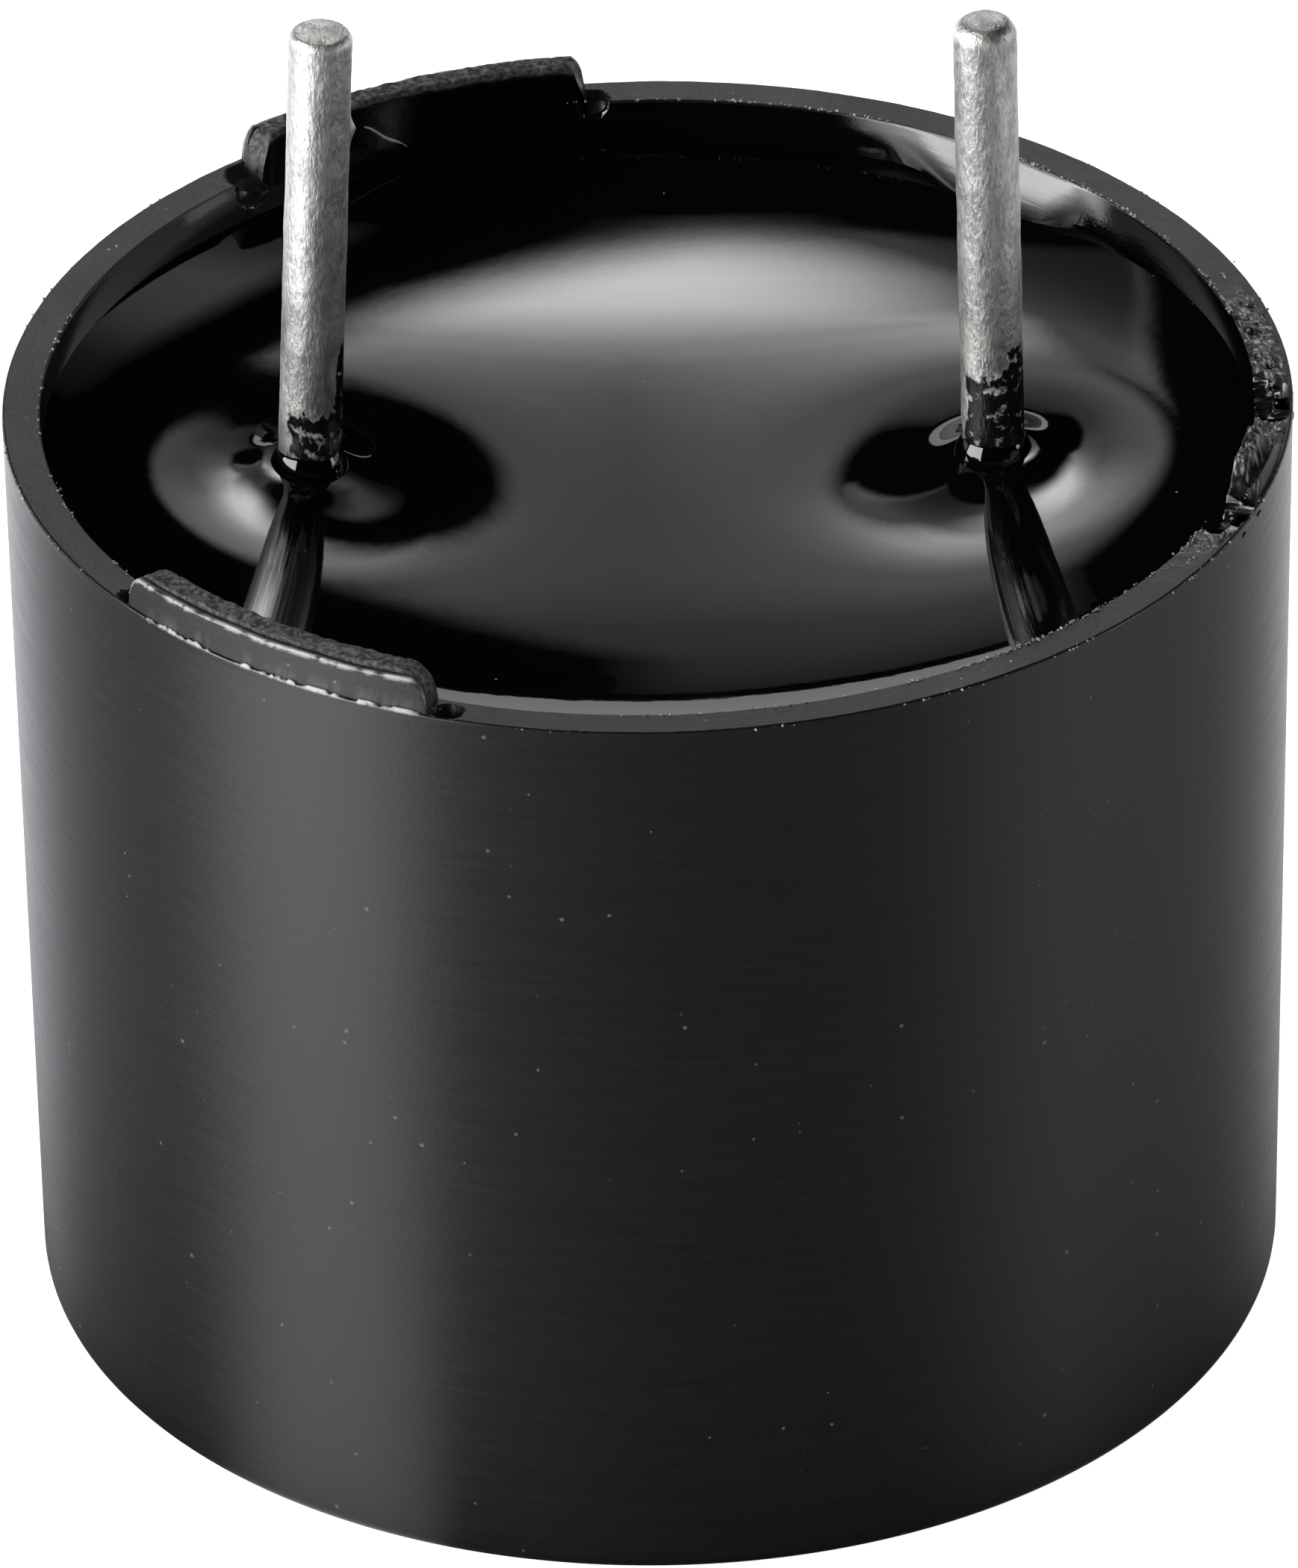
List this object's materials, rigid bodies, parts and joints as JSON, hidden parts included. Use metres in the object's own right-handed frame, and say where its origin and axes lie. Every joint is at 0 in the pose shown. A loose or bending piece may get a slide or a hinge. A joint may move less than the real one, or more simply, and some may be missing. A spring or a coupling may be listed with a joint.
{
  "type": "piezo buzzer",
  "caption": "Round black piezo buzzer for a circuit board, with a moulded cup, a resin-potted back and straight tinned pins.",
  "frame": {"origin": "centre of the closed sound-outlet face, on which the buzzer stands", "axes": "+Z along the cup's axis, from the closed face towards the pins; +X through both pins, from the left pin to the right one"},
  "size_m": [0.012, 0.012, 0.0131],
  "materials": {
    "black_housing": "satin black moulded plastic, finely streaked",
    "black_resin": "glossy black epoxy casting resin",
    "tinned_pin": "grainy dull tin, stained brown near the resin",
    "brass_plate": "rolled brass",
    "piezo_ceramic": "fired piezo ceramic",
    "silver_print": "fired silver print",
    "pale_sealant": "soft silicone bead",
    "board_laminate": "brown paper laminate",
    "bare_copper": "copper",
    "moulded_chip": "black moulding compound",
    "tinned_legs": "tinned",
    "chip_ceramic": "white alumina",
    "solder": "solder",
    "red_sleeve": "red wire insulation",
    "blue_sleeve": "blue wire insulation",
    "black_sleeve": "black wire insulation"
  },
  "bodies": {
    "root": {"housing": "black_housing", "diaphragm_plate": "brass_plate", "piezo_ceramic": "piezo_ceramic", "main_electrode": "silver_print", "feedback_electrode": "silver_print", "diaphragm_sealant": "pale_sealant", "circuit_board": "board_laminate", "board_lands": "bare_copper", "transistor": "moulded_chip", "transistor_legs": "tinned_legs", "load_resistor": "chip_ceramic", "base_resistor": "chip_ceramic", "feedback_resistor": "chip_ceramic", "resistor_ends": "tinned_legs", "chip_solder": "solder", "main_lead": "red_sleeve", "feedback_lead": "blue_sleeve", "plate_lead": "black_sleeve", "lead_cores": "bare_copper", "disc_solder": "solder", "board_solder": "solder", "pin_solder": "solder", "left_pin": "tinned_pin", "right_pin": "tinned_pin", "potting_resin": "black_resin"}
  },
  "joints": []
}
